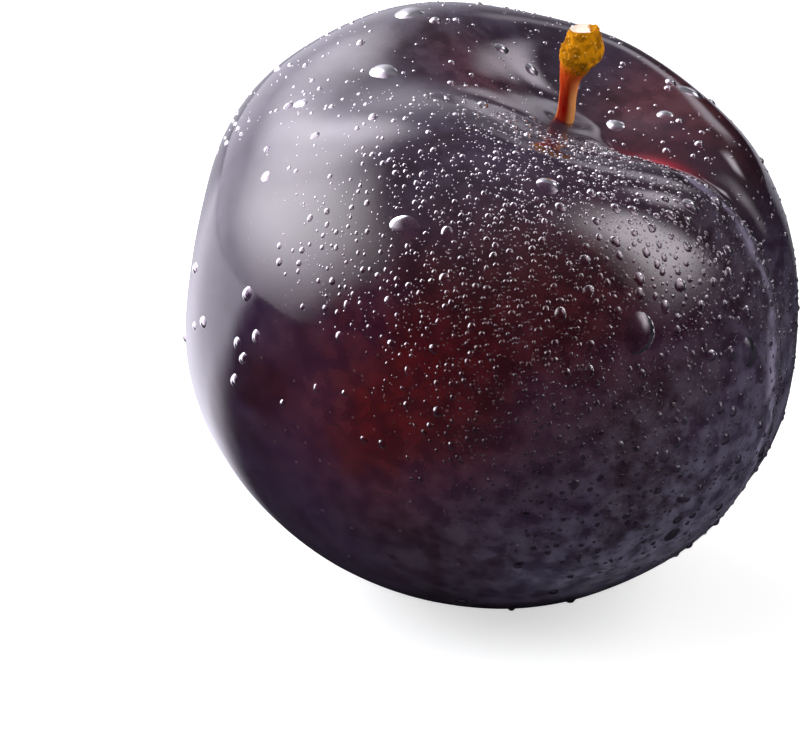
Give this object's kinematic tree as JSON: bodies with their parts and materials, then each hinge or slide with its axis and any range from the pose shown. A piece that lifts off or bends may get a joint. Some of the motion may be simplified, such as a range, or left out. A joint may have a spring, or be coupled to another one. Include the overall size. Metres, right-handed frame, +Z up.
{
  "type": "plum",
  "caption": "Whole dark purple dessert plum with a seam down one side and a short cut stem, leaning slightly on its small resting spot.",
  "frame": {"origin": "on the flat spot that the fruit rests on, straight below its centre of weight", "axes": "+Z up from the surface it rests on; the stem's axis leans 23 degrees from +Z towards +X; the seam faces +X, turned 25 degrees towards -Y"},
  "size_m": [0.0645, 0.0631, 0.0621],
  "materials": {
    "skin": "dark purple waxy skin with a thin bluish bloom and maroon undertones",
    "stem_bark": "matt ochre bark, reddish towards the fruit, with a pale cut end"
  },
  "bodies": {
    "root": {"fruit": "skin", "stem": "stem_bark"}
  },
  "joints": []
}
